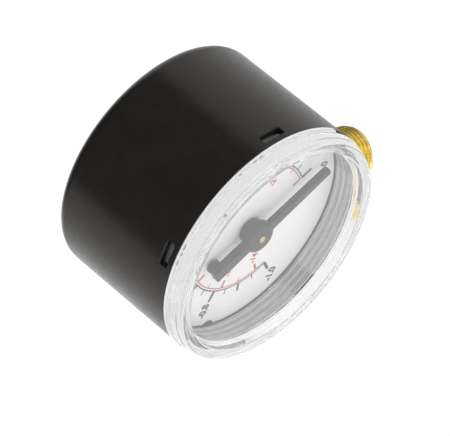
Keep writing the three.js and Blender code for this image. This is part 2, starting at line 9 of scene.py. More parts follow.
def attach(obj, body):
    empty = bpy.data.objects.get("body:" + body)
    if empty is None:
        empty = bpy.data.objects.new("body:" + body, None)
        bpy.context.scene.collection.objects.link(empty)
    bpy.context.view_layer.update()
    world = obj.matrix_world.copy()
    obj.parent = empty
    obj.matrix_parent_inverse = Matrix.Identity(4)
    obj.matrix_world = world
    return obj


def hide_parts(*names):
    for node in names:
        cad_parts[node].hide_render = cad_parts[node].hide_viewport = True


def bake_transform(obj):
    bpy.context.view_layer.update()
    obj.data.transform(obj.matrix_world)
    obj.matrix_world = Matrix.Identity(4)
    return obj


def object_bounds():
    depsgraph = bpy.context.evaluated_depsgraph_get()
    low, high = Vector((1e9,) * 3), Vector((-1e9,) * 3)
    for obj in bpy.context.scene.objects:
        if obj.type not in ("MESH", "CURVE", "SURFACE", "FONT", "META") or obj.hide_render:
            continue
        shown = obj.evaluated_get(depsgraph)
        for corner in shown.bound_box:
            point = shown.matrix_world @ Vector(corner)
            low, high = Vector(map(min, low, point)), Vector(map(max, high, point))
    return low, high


# Pressure gauge, 40 mm, with a snap-in window and a lower mount. Pieces are drawn in
# millimetres: x to the right of the dial, y along the case axis with the front at -y, and
# z up from the connector's end face. make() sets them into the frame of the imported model,
# in metres, whose origin is the centre of the case back.
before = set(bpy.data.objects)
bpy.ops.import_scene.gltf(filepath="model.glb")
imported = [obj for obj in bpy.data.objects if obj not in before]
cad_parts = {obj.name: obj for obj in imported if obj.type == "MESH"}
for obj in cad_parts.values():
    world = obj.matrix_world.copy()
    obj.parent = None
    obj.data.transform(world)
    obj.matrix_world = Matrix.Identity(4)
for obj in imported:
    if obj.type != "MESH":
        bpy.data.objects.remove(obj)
cad_low, cad_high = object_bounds()

RAD = math.pi / 180
MM = 0.001
AXIS_Z = 36.0  # height of the case axis
BACK_Y = 10.95  # case back
WELD = 2e-7  # metres, distance for merging vertices

# case
CASE_R, CASE_BACK_R, CASE_FRONT_Y = 20.0, 19.83, -13.2
POCKET_R, LEDGE_Y = 18.75, -8.3  # wide front part of the cavity and the ledge behind it
CASE_INNER_R = 17.8
PEG_X = POCKET_R + 0.02  # round pegs at both sides of the ledge
PAD_Z = 22.1  # top of the seat for the connector
SCREW_X = 9.2  # vertical screws beside the connector
SNAP_COUNT = 5
SNAP_STEP = 72  # degrees

# inside of the window's skirt
SKIRT_BACK_Y, SKIRT_BACK_R = -9.5, 18.02
FIRST_RIB_Y, RIB_PITCH = -10.05, 1.1

# dial
DIAL_FRONT, DIAL_BACK, DIAL_R = -9.15, -8.35, 18.55


# ------------------------------------------------------------------ mesh tools
def make(name, verts, faces):
    """Object from points in millimetres, with welded vertices and outward normals."""
    mesh = bpy.data.meshes.new(name)
    points = np.asarray(verts, float).reshape(-1, 3)
    points = (points + np.array([0.0, -BACK_Y, -AXIS_Z])) * MM
    mesh.from_pydata([tuple(p) for p in points], [], [tuple(int(i) for i in f) for f in faces])
    bm = bmesh.new()
    bm.from_mesh(mesh)
    bmesh.ops.remove_doubles(bm, verts=bm.verts, dist=WELD)
    bmesh.ops.recalc_face_normals(bm, faces=bm.faces)
    if bm.calc_volume(signed=True) < 0:
        bmesh.ops.reverse_faces(bm, faces=bm.faces)
    bm.to_mesh(mesh)
    bm.free()
    return add_object(name, mesh)


def add_object(name, data):
    obj = bpy.data.objects.new(name, data)
    bpy.context.scene.collection.objects.link(obj)
    return obj


def evaluated_mesh(obj):
    depsgraph = bpy.context.evaluated_depsgraph_get()
    return bpy.data.meshes.new_from_object(obj.evaluated_get(depsgraph))


def apply_modifiers(obj):
    mesh = evaluated_mesh(obj)
    obj.modifiers.clear()
    old = obj.data
    obj.data = mesh
    mesh.name = obj.name
    bpy.data.meshes.remove(old)


def shade(obj, sharp_angle):
    mesh = obj.data
    mesh.polygons.foreach_set("use_smooth", [True] * len(mesh.polygons))
    mesh.set_sharp_from_angle(angle=sharp_angle * RAD)
    mesh.update()
    # normals follow the large faces, so that flat faces beside a fillet stay flat
    weighted = obj.modifiers.new("n", "WEIGHTED_NORMAL")
    weighted.mode = "FACE_AREA"
    weighted.weight = 60
    weighted.keep_sharp = True
    apply_modifiers(obj)


def boolean(obj, tool, operation="DIFFERENCE"):
    """Applies the tool to the object and deletes the tool."""
    modifier = obj.modifiers.new("b", "BOOLEAN")
    modifier.operation = operation
    modifier.solver = "EXACT"
    modifier.object = tool
    apply_modifiers(obj)
    mesh = tool.data
    bpy.data.objects.remove(tool)
    bpy.data.meshes.remove(mesh)


def bevel(obj, width, segments=2, angle=60):
    """Rounds the edges that are sharper than the angle, in the mesh itself."""
    bm = bmesh.new()
    bm.from_mesh(obj.data)
    edges = [
        edge
        for edge in bm.edges
        if len(edge.link_faces) == 2 and edge.calc_face_angle(0.0) > angle * RAD
    ]
    bmesh.ops.bevel(
        bm,
        geom=edges,
        offset=width * MM,
        offset_type="OFFSET",
        segments=segments,
        profile=0.5,
        affect="EDGES",
        clamp_overlap=True,
    )
    bmesh.ops.remove_doubles(bm, verts=bm.verts, dist=WELD)
    bm.to_mesh(obj.data)
    bm.free()
    obj.data.update()


def filleted(points, steps):
    """Open chain of (r, y) or (r, y, fillet): corners with a fillet radius become arcs."""
    out = []
    for i, point in enumerate(points):
        fillet = point[2] if len(point) > 2 else 0
        if fillet <= 0 or i in (0, len(points) - 1):
            out.append((point[0], point[1]))
            continue
        before, corner, after = (np.array(p[:2], float) for p in (points[i - 1], point, points[i + 1]))
        to_before, to_after = before - corner, after - corner
        length_before, length_after = np.linalg.norm(to_before), np.linalg.norm(to_after)
        to_before, to_after = to_before / length_before, to_after / length_after
        angle = math.acos(max(-1, min(1, float(to_before @ to_after))))
        if angle > math.pi - 0.02:  # nearly straight
            out.append((point[0], point[1]))
            continue
        reach = min(fillet / math.tan(angle / 2), 0.49 * length_before, 0.49 * length_after)
        radius = reach * math.tan(angle / 2)
        bisector = (to_before + to_after) / np.linalg.norm(to_before + to_after)
        centre = corner + bisector * (radius / math.sin(angle / 2))
        start = corner + to_before * reach - centre
        end = corner + to_after * reach - centre
        start_angle, end_angle = math.atan2(start[1], start[0]), math.atan2(end[1], end[0])
        sweep = (end_angle - start_angle + math.pi) % (2 * math.pi) - math.pi
        for k in range(steps + 1):
            a = start_angle + sweep * k / steps
            out.append((centre[0] + radius * math.cos(a), centre[1] + radius * math.sin(a)))
    return out


def strip_faces(lower, upper):
    """Faces between two rings of vertex numbers; one of them may be a single pole."""
    count = max(len(lower), len(upper))
    faces = []
    for i in range(count):
        j = (i + 1) % count
        if len(lower) == 1:
            faces.append((lower[0], upper[i], upper[j]))
        elif len(upper) == 1:
            faces.append((lower[i], upper[0], lower[j]))
        else:
            faces.append((lower[i], upper[i], upper[j], lower[j]))
    return faces


def lathe(name, profile, segments, centre=(0.0, AXIS_Z), vertical=False, closed=False):
    """Solid of revolution from (radius, position along the axis).

    The axis runs along y through centre (x, z), or, if vertical, along z through (x, y).
    """
    angles = np.arange(segments) * 2 * math.pi / segments
    verts, rings = [], []
    for radius, along in profile:
        start = len(verts)
        if radius < 1e-6:
            around = [centre]
        else:
            around = [
                (centre[0] + radius * math.sin(a), centre[1] + radius * math.cos(a))
                for a in angles
            ]
        verts += [(p, q, along) if vertical else (p, along, q) for p, q in around]
        rings.append(range(start, len(verts)))
    pairs = list(zip(rings, rings[1:]))
    if closed:
        pairs.append((rings[-1], rings[0]))
    return make(name, verts, [face for pair in pairs for face in strip_faces(*pair)])


def cylinder(radius, start, end, segments, **placing):
    profile = [(0, start), (radius, start), (radius, end), (0, end)]
    return lathe("cylinder", profile, segments, **placing)


def prism_data(outline, y0, y1):
    """Vertices and faces of a flat piece: outline of (x, z) from the case axis."""
    n = len(outline)
    verts = [(x, y, z + AXIS_Z) for y in (y0, y1) for x, z in outline]
    faces = [tuple(range(n)), tuple(range(2 * n - 1, n - 1, -1))]
    faces += [(i, i + n, (i + 1) % n + n, (i + 1) % n) for i in range(n)]
    return verts, faces


def block(x0, x1, y0, y1, z0, z1):
    verts = [(x, y, z) for x in (x0, x1) for y in (y0, y1) for z in (z0, z1)]
    faces = [(0, 1, 3, 2), (4, 6, 7, 5), (0, 4, 5, 1), (2, 3, 7, 6), (0, 2, 6, 4), (1, 5, 7, 3)]
    return make("block", verts, faces)


def side_faces(loop_count, n):
    """Faces between successive loops of n vertices."""
    faces = []
    for k in range(loop_count - 1):
        for i in range(n):
            j = (i + 1) % n
            faces.append((k * n + i, k * n + j, (k + 1) * n + j, (k + 1) * n + i))
    return faces


def loft(loops):
    """Closed solid through loops of equal length, capped at both ends."""
    n = len(loops[0])
    verts = [point for loop in loops for point in loop]
    faces = [tuple(range(n)), tuple(range(len(verts) - 1, len(verts) - n - 1, -1))]
    return make("loft", verts, faces + side_faces(len(loops), n))


def rounded_rect(width, height, radius, steps=4):
    """(x, y) round a rectangle with rounded corners."""
    out = []
    for sx, sy, first in ((1, 1, 0), (-1, 1, 90), (-1, -1, 180), (1, -1, 270)):
        for k in range(steps + 1):
            a = (first + 90 * k / steps) * RAD
            x = sx * (width / 2 - radius) + radius * math.cos(a)
            y = sy * (height / 2 - radius) + radius * math.sin(a)
            out.append((x, y))
    return out


def turned(x, z, degrees):
    """(x, z) from the case axis, turned clockwise as seen from the front."""
    s, c = math.sin(degrees * RAD), math.cos(degrees * RAD)
    return x * c + z * s, -x * s + z * c


def clock(degrees, radius):
    return turned(0, radius, degrees)


def turned_point(x, y, z, degrees):
    x, z = turned(x, z, degrees)
    return x, y, z + AXIS_Z


# ------------------------------------------------------------------ node helpers
class Nodes:
    """Adds shader nodes to a tree; an input takes a value or another node's socket."""

    def __init__(self, tree):
        self.tree = tree
        tree.nodes.clear()

    def put(self, socket, value):
        if isinstance(value, bpy.types.NodeSocket):
            self.tree.links.new(value, socket)
        elif socket.type == "RGBA":
            socket.default_value = (*value, 1)
        else:
            socket.default_value = value

    def fill(self, node, **inputs):
        for name, value in inputs.items():
            self.put(node.inputs[name.replace("_", " ")], value)

    def add(self, kind, **inputs):
        node = self.tree.nodes.new("ShaderNode" + kind)
        self.fill(node, **inputs)
        return node

    def shader(self, kind, **inputs):
        return self.add(kind, **inputs).outputs[0]

    def mix_shader(self, share, first, second):
        node = self.add("MixShader")
        for socket, value in zip(node.inputs, (share, first, second)):
            self.put(socket, value)
        return node.outputs[0]


class Material(Nodes):
    """Material round a principled shader, textured in object coordinates (metres)."""

    def __init__(self, name):
        self.data = bpy.data.materials.new(name)
        self.data.use_nodes = True
        super().__init__(self.data.node_tree)
        self.output = self.add("OutputMaterial")
        self.object_place = self.add("TexCoord").outputs["Object"]
        self.principled = self.add("BsdfPrincipled")
        self.surface(self.principled.outputs[0])

    def surface(self, shader):
        self.put(self.output.inputs["Surface"], shader)

    def set(self, **inputs):
        self.fill(self.principled, **inputs)

    def mapped(self, scale):
        return self.add("Mapping", Scale=scale, Vector=self.object_place).outputs[0]

    def noise(self, scale, detail, roughness=0.55, vector=None):
        vector = vector or self.object_place
        node = self.add("TexNoise", Scale=scale, Detail=detail, Roughness=roughness, Vector=vector)
        return node.outputs["Fac"]

    def ramp(self, value, low, high):
        """Colour from low at 0.3 to high at 0.7."""
        node = self.add("ValToRGB", Fac=value)
        for stop, position, colour in zip(node.color_ramp.elements, (0.3, 0.7), (low, high)):
            stop.position = position
            stop.color = (*colour, 1)
        return node.outputs["Color"]

    def span(self, value, low, high, start=0.3, end=0.7):
        """Maps start..end to low..high."""
        inputs = {"From_Min": start, "From_Max": end, "To_Min": low, "To_Max": high}
        return self.add("MapRange", Value=value, **inputs).outputs["Result"]

    def math(self, operation, first, second=0.0):
        node = self.add("Math")
        node.operation = operation
        node.inputs[2].default_value = 3e-5  # tolerance of a comparison
        self.put(node.inputs[0], first)
        self.put(node.inputs[1], second)
        return node.outputs[0]

    def plus(self, first, second):
        return self.math("ADD", first, second)

    def times(self, first, second):
        return self.math("MULTIPLY", first, second)

    def above(self, value, limit):
        return self.math("GREATER_THAN", value, limit)

    def below(self, value, limit):
        return self.math("LESS_THAN", value, limit)

    def larger(self, first, second):
        return self.math("MAXIMUM", first, second)

    def blend(self, first, second, first_share):
        return self.plus(self.times(first, first_share), self.times(second, 1 - first_share))

    def mix_colour(self, share, first, second):
        node = self.add("Mix")
        node.data_type = "RGBA"
        for index, value in ((0, share), (6, first), (7, second)):
            self.put(node.inputs[index], value)
        return node.outputs[2]

    def bump(self, height, strength, depth, under=None):
        """Relief with its depth in millimetres, on top of the relief under it."""
        node = self.add("Bump", Strength=strength, Distance=depth * MM, Height=height)
        if under is not None:
            self.put(node.inputs["Normal"], under)
        return node.outputs[0]

    def position(self):
        """x, y, z and the distance from the case axis, in metres."""
        x, y, z = self.add("SeparateXYZ", Vector=self.object_place).outputs
        squares = self.plus(self.math("POWER", x, 2.0), self.math("POWER", z, 2.0))
        return x, y, z, self.math("SQRT", squares)


# ------------------------------------------------------------------ materials
def moulded_black(name, low, high, roughness, grain_scale, sheen):
    mat = Material(name)
    grain = mat.bump(mat.noise(scale=grain_scale, detail=2, roughness=0.6), strength=0.10, depth=0.012)
    mat.set(
        Base_Color=mat.ramp(mat.noise(scale=260, detail=4), low, high),
        Roughness=mat.span(
            mat.noise(scale=900, detail=3), low=roughness - 0.035, high=roughness + 0.045
        ),
        IOR=1.5,
        Specular_IOR_Level=0.30,
        Specular_Tint=(1.0, 0.94, 0.89),
        Sheen_Weight=sheen,
        Sheen_Roughness=0.3,
        Normal=mat.bump(mat.noise(scale=300, detail=3), strength=0.06, depth=0.05, under=grain),
    )
    return mat.data


def window_haze(mat, y, radius):
    """Share of milky plastic over the window, raised as painted highlights on the rib crests and the
    pane's edge and as painted light on the flange's underside and the wall inside the rim.
    """
    rim_haze, skirt_haze, crest_highlight_share = 0.16, 0.22, 0.34
    painted_under_share, painted_slope_share = 0.88, 0.12
    crest_sharpness = 5.0
    # the moulded rim and skirt are slightly milky, the pane is clear
    ring = mat.span(radius, low=0.0, high=1.0, start=0.01735, end=0.01765)
    # painted highlight: the crests of the ribs inside the skirt are made more milky, for the light they
    # catch more than the wall between them
    from_rib = mat.plus(y, (BACK_Y - FIRST_RIB_Y) * MM)
    turn = mat.times(from_rib, 2 * math.pi / (RIB_PITCH * MM))
    wave = mat.plus(mat.times(mat.math("COSINE", turn), 0.5), 0.5)  # 0 to 1
    crest = mat.math("POWER", wave, crest_sharpness)
    skirt = mat.plus(mat.times(crest, crest_highlight_share), skirt_haze)
    behind = mat.span(y, low=0.0, high=1.0, start=-0.0246, end=-0.0238)
    in_front = mat.math("SUBTRACT", 1.0, behind)
    zone = mat.plus(mat.times(behind, skirt), mat.times(in_front, rim_haze))
    # painted light: the underside of the flange, which bears on the case, is made matt and white, so
    # that the clear rim in front of it looks bright as if it reflected light inward
    under = mat.times(mat.above(radius, 0.01863), mat.math("COMPARE", y, -0.02423))
    # and so is the sloping wall inside the rim, to a lesser degree, as painted light too
    slope = mat.times(
        mat.span(radius, low=1.0, high=0.0, start=0.01772, end=0.01778),
        mat.times(mat.above(radius, 0.01737), mat.below(y, -0.02586)),
    )
    faces = mat.larger(mat.times(under, painted_under_share), mat.times(slope, painted_slope_share))
    haze = mat.larger(mat.times(ring, zone), faces)
    # painted highlight: the pane's edge, where it meets the rim, is made milky so that it shows as a
    # thin bright line
    edge = mat.times(
        mat.times(mat.below(y, -0.02575), mat.above(y, -0.02602)),
        mat.times(mat.above(radius, 0.01731), mat.below(radius, 0.01752)),
    )
    return mat.larger(haze, edge)


def clear_plastic():
    mat = Material("clear_plastic")
    mat.set(
        Base_Color=mat.ramp(
            mat.noise(scale=120, detail=2), low=(0.975, 0.982, 0.985), high=(0.99, 0.992, 0.992)
        ),
        Roughness=mat.span(mat.noise(scale=300, detail=2), low=0.010, high=0.014),
        IOR=1.53,
        Normal=mat.bump(mat.noise(scale=30, detail=1.0), strength=0.002, depth=0.02),
        Transmission_Weight=1.0,
    )
    x, y, z, radius = mat.position()
    milk_colour = (0.90, 0.895, 0.90)
    milk = mat.mix_shader(
        0.3,  # share of light let through
        mat.shader("BsdfDiffuse", Color=milk_colour),
        mat.shader("BsdfTranslucent", Color=milk_colour),
    )
    body = mat.mix_shader(window_haze(mat, y, radius), mat.principled.outputs[0], milk)
    # painted shade: behind their slots the snap hooks are coloured near black, for the shade of the case
    # wall they sit in
    dark = mat.shader("BsdfPrincipled", Base_Color=(0.012, 0.011, 0.010), Roughness=0.35)
    hook_wave = mat.math("COSINE", mat.times(mat.math("ARCTAN2", x, z), float(SNAP_COUNT)))
    behind_slot = mat.times(mat.above(hook_wave, 0.84), mat.above(y, -0.0240))
    outside_skirt = mat.span(radius, low=0.0, high=0.9, start=0.01848, end=0.01852)
    with_painted_hook_shade = mat.mix_shader(mat.times(outside_skirt, behind_slot), body, dark)
    # painted light: a sight line caught between the pane's faces glows white, standing in for the bright
    # room at its far edge
    path = mat.add("LightPath").outputs
    painted_pipe_glow = mat.shader("Emission", Color=(0.90, 0.89, 0.90), Strength=0.86)
    caught = mat.times(mat.above(path["Ray Depth"], 3.5), mat.below(radius, 0.0172))
    with_painted_glow = mat.mix_shader(caught, with_painted_hook_shade, painted_pipe_glow)
    # lamps shine through the window on to the dial
    clear = mat.shader("BsdfTransparent", Color=(0.93, 0.935, 0.935))
    lamp_ray = mat.larger(path["Is Shadow Ray"], path["Is Diffuse Ray"])
    mat.surface(mat.mix_shader(lamp_ray, with_painted_glow, clear))
    return mat.data


def lacquer_white():
    mat = Material("dial_white")
    # painted shade: the margin under the window's skirt, in the shade of the case, is coloured near
    # black
    radius = mat.position()[3]
    colour = mat.mix_colour(
        mat.span(radius, low=0.0, high=1.0, start=0.01782, end=0.01792),
        mat.ramp(mat.noise(scale=180, detail=4), low=(0.80, 0.785, 0.785), high=(0.84, 0.825, 0.825)),
        (0.05, 0.048, 0.048),
    )
    mat.set(
        Base_Color=colour,
        Roughness=mat.span(mat.noise(scale=700, detail=3), low=0.42, high=0.52),
        Normal=mat.bump(mat.noise(scale=2600, detail=3), strength=0.10, depth=0.02),
    )
    return mat.data


def ink(name, low, high):
    mat = Material(name)
    mat.set(
        Base_Color=mat.ramp(mat.noise(scale=2200, detail=4), low, high),
        Roughness=mat.span(mat.noise(scale=3000, detail=2), low=0.4, high=0.6),
        Normal=mat.bump(mat.noise(scale=9000, detail=2), strength=0.15, depth=0.01),
    )
    return mat.data


def metal(name, dark, light, roughness, lines, axis, relief, stain=None):
    """Machined metal: fine tool lines, cloudy tone and a little tarnish.

    lines is the scale of the tool lines, axis their direction of change and relief
    the strength of their bump; roughness is its range.
    """
    mat = Material(name)
    wave = mat.add(
        "TexWave", Scale=lines, Distortion=2.5, Detail=2, Vector=mat.mapped(scale=(1, 1, 1))
    )
    wave.bands_direction = axis
    stretch = tuple(1 if letter == axis else 60 for letter in "XYZ")
    streak = mat.noise(scale=60, detail=4, roughness=0.6, vector=mat.mapped(scale=stretch))
    cloud = mat.noise(scale=240, detail=4)
    tone = mat.ramp(mat.blend(streak, cloud, first_share=0.5), dark, light)
    if stain:
        spots = mat.noise(scale=520, detail=5, roughness=0.62)
        tone = mat.mix_colour(mat.span(spots, low=0.0, high=0.55, start=0.52, end=0.78), tone, stain)
    wear = mat.blend(streak, mat.noise(scale=900, detail=3), first_share=0.6)
    grain = mat.bump(mat.noise(scale=3500, detail=3), strength=0.08, depth=0.01)
    mat.set(
        Base_Color=tone,
        Metallic=1.0,
        Roughness=mat.span(wear, *roughness),
        Normal=mat.bump(wave.outputs["Fac"], strength=relief, depth=0.006, under=grain),
    )
    return mat.data


CASE_BLACK = moulded_black(
    "moulded_black", low=(0.0066, 0.0060, 0.0052), high=(0.0100, 0.0090, 0.0078),
    roughness=0.25, grain_scale=7000, sheen=0.05,
)
POINTER_BLACK = moulded_black(
    "pointer_black", low=(0.012, 0.012, 0.0125), high=(0.018, 0.018, 0.0185),
    roughness=0.36, grain_scale=9000, sheen=0.0,
)
CLEAR = clear_plastic()
DIAL_WHITE = lacquer_white()
INK_BLACK = ink("ink_black", low=(0.012, 0.012, 0.014), high=(0.03, 0.03, 0.034))
INK_RED = ink("ink_red", low=(0.50, 0.030, 0.035), high=(0.62, 0.055, 0.055))
STEM_BRASS = metal(
    "turned_brass", dark=(0.82, 0.60, 0.13), light=(0.95, 0.77, 0.25),
    roughness=(0.20, 0.34), lines=3200, axis="Z", relief=0.20, stain=(0.58, 0.42, 0.08),
)
SHEET_BRASS = metal(
    "sheet_brass", dark=(0.70, 0.47, 0.15), light=(0.84, 0.60, 0.23),
    roughness=(0.24, 0.40), lines=2600, axis="X", relief=0.12,
)
TURNED_BRASS = metal(
    "fine_brass", dark=(0.72, 0.49, 0.16), light=(0.86, 0.62, 0.24),
    roughness=(0.18, 0.32), lines=4200, axis="Y", relief=0.15,
)
BRONZE = metal(
    "tube_bronze", dark=(0.60, 0.30, 0.14), light=(0.76, 0.42, 0.22),
    roughness=(0.24, 0.42), lines=2200, axis="Y", relief=0.10, stain=(0.36, 0.16, 0.08),
)
SPRING = metal(
    "spring_bronze", dark=(0.66, 0.50, 0.24), light=(0.80, 0.64, 0.34),
    roughness=(0.20, 0.32), lines=5200, axis="Y", relief=0.08,
)
STEEL = metal(
    "screw_steel", dark=(0.42, 0.42, 0.43), light=(0.60, 0.60, 0.61),
    roughness=(0.20, 0.36), lines=4200, axis="Y", relief=0.15,
)


def finish_piece(obj, material, slot, body, nodes, sharp_angle):
    obj.data.materials.clear()
    obj.data.materials.append(material)
    shade(obj, sharp_angle)
    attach(obj, body)
    if nodes:
        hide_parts(*nodes)


# ------------------------------------------------------------------ case
FLOOR_Y = BACK_Y - 2.0  # inner face of the case back
GROOVE_Y = BACK_Y - 0.25  # bottom of the ring groove in the back
# (radius, y, fillet) from the centre of the back, round the rim and inside again
CASE_PROFILE = [
    (0, BACK_Y), (13.15, BACK_Y, 0.08), (13.35, GROOVE_Y, 0.08),
    (13.75, GROOVE_Y, 0.08), (13.95, BACK_Y, 0.08), (CASE_BACK_R, BACK_Y, 2.0),
    (CASE_R, CASE_FRONT_Y, 0.16), (POCKET_R, CASE_FRONT_Y, 0.12),
    (POCKET_R - 0.05, LEDGE_Y, 0.08), (CASE_INNER_R, LEDGE_Y, 0.12),
    (CASE_INNER_R - 0.1, BACK_Y - 2.9, 0.3), (CASE_INNER_R - 1, FLOOR_Y, 0.3), (0, FLOOR_Y),
]
OPENING_HALF = 7.15  # square opening for the connector
SNAP_Y, SNAP_WIDTH, SNAP_HEIGHT, SNAP_CORNER = -11.4, 4.0, 1.4, 0.22
# (distance from the case axis, growth of the outline, largest corner radius)
SNAP_SECTIONS = [(16.5, 0, 0.22), (CASE_R - 0.28, 0, 0.22), (CASE_R + 0.6, 0.8, 0.6)]


def snap_window(degrees):
    """Tool for one slot through the case wall, with a widening mouth."""
    loops = []
    for distance, grow, corner in SNAP_SECTIONS:
        outline = rounded_rect(
            SNAP_WIDTH + 2 * grow, SNAP_HEIGHT + 2 * grow, min(corner, SNAP_CORNER + grow)
        )
        loops.append([turned_point(x, SNAP_Y + y, distance, degrees) for x, y in outline])
    return loft(loops)


def build_case():
    case = lathe("case_shell", filleted(CASE_PROFILE, 6), 200)
    seat = block(-11.4, 11.4, -7.9, 7.9, AXIS_Z - 18.4, PAD_Z)
    boolean(seat, cylinder(CASE_INNER_R + 0.6, -8.2, 8, 200), "INTERSECT")
    bevel(seat, 0.15)
    boolean(case, seat, "UNION")
    peg_front, peg_back, peg_r = LEDGE_Y - 0.75, LEDGE_Y + 0.5, 1.1
    peg = filleted([(0, peg_front), (peg_r, peg_front, 0.12), (peg_r, peg_back), (0, peg_back)], 3)
    for side in (-1, 1):
        boolean(case, lathe("peg", peg, 36, (side * PEG_X, AXIS_Z)), "UNION")
    opening = rounded_rect(2 * OPENING_HALF, 2 * OPENING_HALF, 0.5)
    above_pad = PAD_Z + 1
    boolean(case, loft([[(x, y, z) for x, y in opening] for z in (above_pad, AXIS_Z - 24)]))
    # stepped screw holes: (radius, z)
    hole = [(0, 10), (1.65, 10), (1.65, 19.85), (1.0, 19.85), (1.0, above_pad), (0, above_pad)]
    for side in (-1, 1):
        boolean(case, lathe("hole", hole, 36, (side * SCREW_X, 0.0), vertical=True))
    for i in range(SNAP_COUNT):
        boolean(case, snap_window(i * SNAP_STEP))
    finish_piece(case, CASE_BLACK, "case_black", "housing", ["case"], 30)


# ------------------------------------------------------------------ window
PANE_FRONT, PANE_BACK, RIM_FRONT = -14.85, -13.35, -16.7
GROOVE = RIM_FRONT + 0.07  # bottom of the two fine rings cut in the rim
FLANGE_BACK = -13.28
# (radius, y, fillet) from the centre of the pane's front, round the rim to the skirt's end
WINDOW_OUTSIDE = [
    (0, PANE_FRONT), (17.4, PANE_FRONT, 0.22), (17.7, RIM_FRONT, 0.25),
    (18.15, RIM_FRONT), (18.22, GROOVE), (18.29, RIM_FRONT),
    (18.80, RIM_FRONT), (18.87, GROOVE), (18.94, RIM_FRONT), (19.4, RIM_FRONT, 0.3),
    (19.72, -15.72), (19.69, -15.62), (19.78, -15.55), (20.0, -14.4, 0.06),
    (19.88, -14.32, 0.04), (19.88, -14.16, 0.04), (20.15, -14.08, 0.1),
    (20.15, FLANGE_BACK, 0.1), (18.62, FLANGE_BACK, 0.08),
    (18.57, SKIRT_BACK_Y, 0.1), (SKIRT_BACK_R, SKIRT_BACK_Y, 0.1),
]
HOOK_R, HOOK_FRONT = 19.35, -11.8
HOOK_PROFILE = [(18.3, HOOK_FRONT), (HOOK_R, HOOK_FRONT, 0.06), (HOOK_R, -11.55, 0.06), (18.3, -10.92)]
HOOK_STATIONS = [(-1.6, 0.06), (-1.54, 0), (1.54, 0), (1.6, 0.06)]  # x and inset of the section


def skirt_ribs():
    """Three shallow ribs round the inside of the slightly tapered skirt."""
    points = []
    for i in range(3):
        y = FIRST_RIB_Y - i * RIB_PITCH
        wall = SKIRT_BACK_R - 0.2 * (y - SKIRT_BACK_Y) / (PANE_BACK - SKIRT_BACK_Y)
        crest = wall - 0.1
        points += [(wall, y + 0.24), (crest, y + 0.1, 0.05), (crest, y - 0.1, 0.05), (wall, y - 0.24)]
    return points


def snap_hook(degrees):
    profile = filleted(HOOK_PROFILE, 3)
    loops = []
    for x, inset in HOOK_STATIONS:
        section = [
            (min(r, HOOK_R - inset), y + (inset if y < -11.65 else -inset)) for r, y in profile
        ]
        loops.append([turned_point(x, y, r, degrees) for r, y in section])
    return loft(loops)


def build_window():
    profile = WINDOW_OUTSIDE + skirt_ribs() + [(17.82, PANE_BACK, 0.22), (0, PANE_BACK)]
    window = lathe("window_lens", filleted(profile, 5), 220)
    for i in range(SNAP_COUNT):
        boolean(window, snap_hook(i * SNAP_STEP), "UNION")
    # notch in the flange, at the lower right
    notch = [clock(a, 19.3) for a in range(107, 128, 2)]
    notch += [clock(a, 21.5) for a in range(127, 106, -2)]
    boolean(window, make("notch", *prism_data(notch, -14.2, -13.0)))
    finish_piece(window, CLEAR, "window_clear", "housing", ["window"], 30)


# ------------------------------------------------------------------ dial
DIAL_BORE_R, PEG_NOTCH_R = 1.6, 1.55


def build_dial():
    profile = [
        (DIAL_BORE_R, DIAL_FRONT), (DIAL_R, DIAL_FRONT, 0.12),
        (DIAL_R, DIAL_BACK, 0.06), (DIAL_BORE_R, DIAL_BACK),
    ]
    dial = lathe("dial_plate", filleted(profile, 4), 200, closed=True)
    for side in (-1, 1):
        centre = (side * PEG_X, AXIS_Z)
        boolean(dial, cylinder(PEG_NOTCH_R, DIAL_FRONT - 1, DIAL_BACK + 1, 48, centre=centre))
    finish_piece(dial, DIAL_WHITE, "dial_white", "housing", ["dial"], 35)


# ------------------------------------------------------------------ dial print
INK_HEIGHT, INK_GAP = 0.03, 0.002  # front and back of the marks, above the dial
INK_FRONT, INK_BACK = DIAL_FRONT - INK_HEIGHT, DIAL_FRONT - INK_GAP
SCALE_START, SCALE_SWEEP = 224.5, 273.5  # clock angles, for -1 bar to 0
PSI_PER_BAR = 14.5038
LETTER_WIDTH = 0.84  # narrowing of the font
ZERO_PLACE = (9.4, -12.9)


def bar_angle(bar):
    return SCALE_START + (bar + 1) * SCALE_SWEEP


def tick(degrees, inner, outer, width):
    (x0, z0), (x1, z1) = clock(degrees, inner), clock(degrees, outer)
    dx, dz = clock(degrees + 90, width / 2)
    outline = [(x0 - dx, z0 - dz), (x1 - dx, z1 - dz), (x1 + dx, z1 + dz), (x0 + dx, z0 + dz)]
    return prism_data(outline, INK_FRONT, INK_BACK)


def scale_arc(radius, width):
    """Thin printed arc over the whole scale, in steps of about 1.5 degrees."""
    count = int(SCALE_SWEEP / 1.5)
    verts, faces = [], []
    for k in range(count + 1):
        for r in (radius - width / 2, radius + width / 2):
            x, z = clock(SCALE_START + SCALE_SWEEP * k / count, r)
            verts += [(x, INK_FRONT, z + AXIS_Z), (x, INK_BACK, z + AXIS_Z)]
    for k in range(count):
        i, j = 4 * k, 4 * k + 4
        faces += [(i, i + 2, j + 2, j), (i + 1, j + 1, j + 3, i + 3)]
        faces += [(i, j, j + 1, i + 1), (i + 2, i + 3, j + 3, j + 2)]
    end = 4 * count
    faces += [(0, 1, 3, 2), (end, end + 2, end + 3, end + 1)]
    return verts, faces


